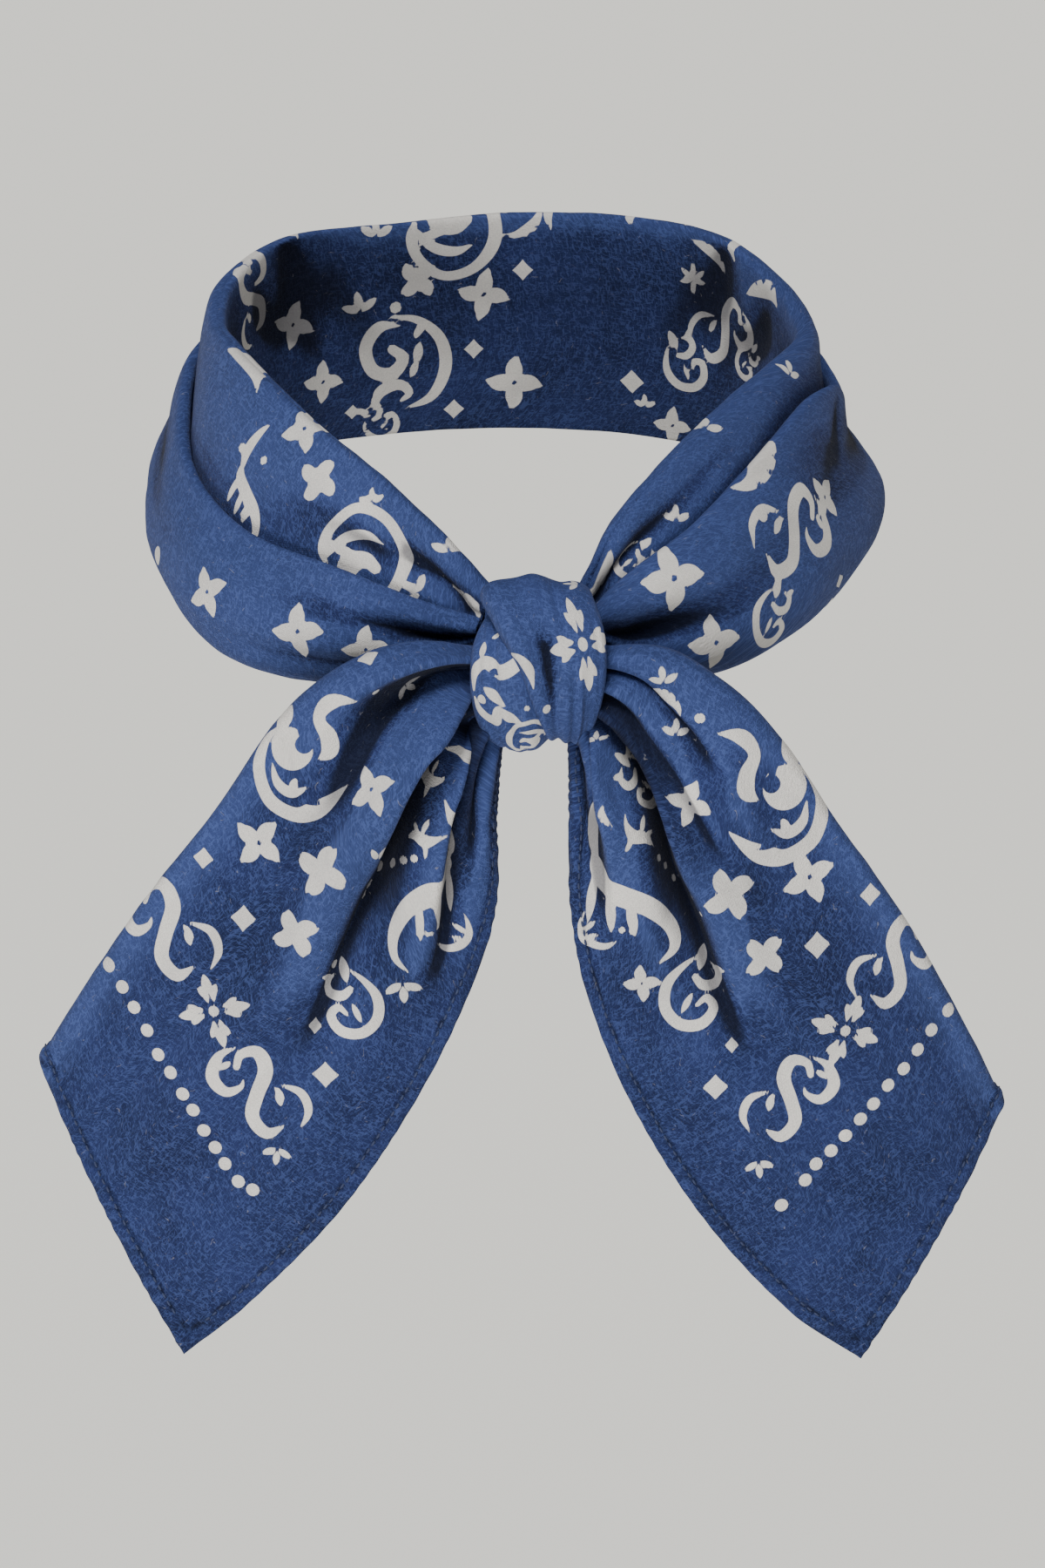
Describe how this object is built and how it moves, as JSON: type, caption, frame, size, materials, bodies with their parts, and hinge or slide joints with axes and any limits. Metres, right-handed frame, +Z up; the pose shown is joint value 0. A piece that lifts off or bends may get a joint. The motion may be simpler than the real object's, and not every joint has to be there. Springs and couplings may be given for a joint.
{
  "type": "bandana",
  "caption": "Cotton bandana folded to a band, worn round an open neck and tied in front, with two hemmed tails hanging from the knot.",
  "frame": {"origin": "middle of the neck opening, at the height of the band's middle, where the wearer's neck holds the cloth", "axes": "+Z up, -Y to the front where the knot and tails are, +X to the right of somebody who looks at the knot"},
  "size_m": [0.193, 0.1573, 0.204],
  "materials": {
    "bandana_cloth": "matte indigo cotton with an off-white print",
    "sewing_thread": "dark blue cotton thread"
  },
  "bodies": {
    "root": {"neck_band_inner": "bandana_cloth", "neck_band_outer": "bandana_cloth", "knot_core": "bandana_cloth", "knot_over": "bandana_cloth", "knot_under": "bandana_cloth", "tail_left": "bandana_cloth", "tail_right": "bandana_cloth"}
  },
  "joints": []
}
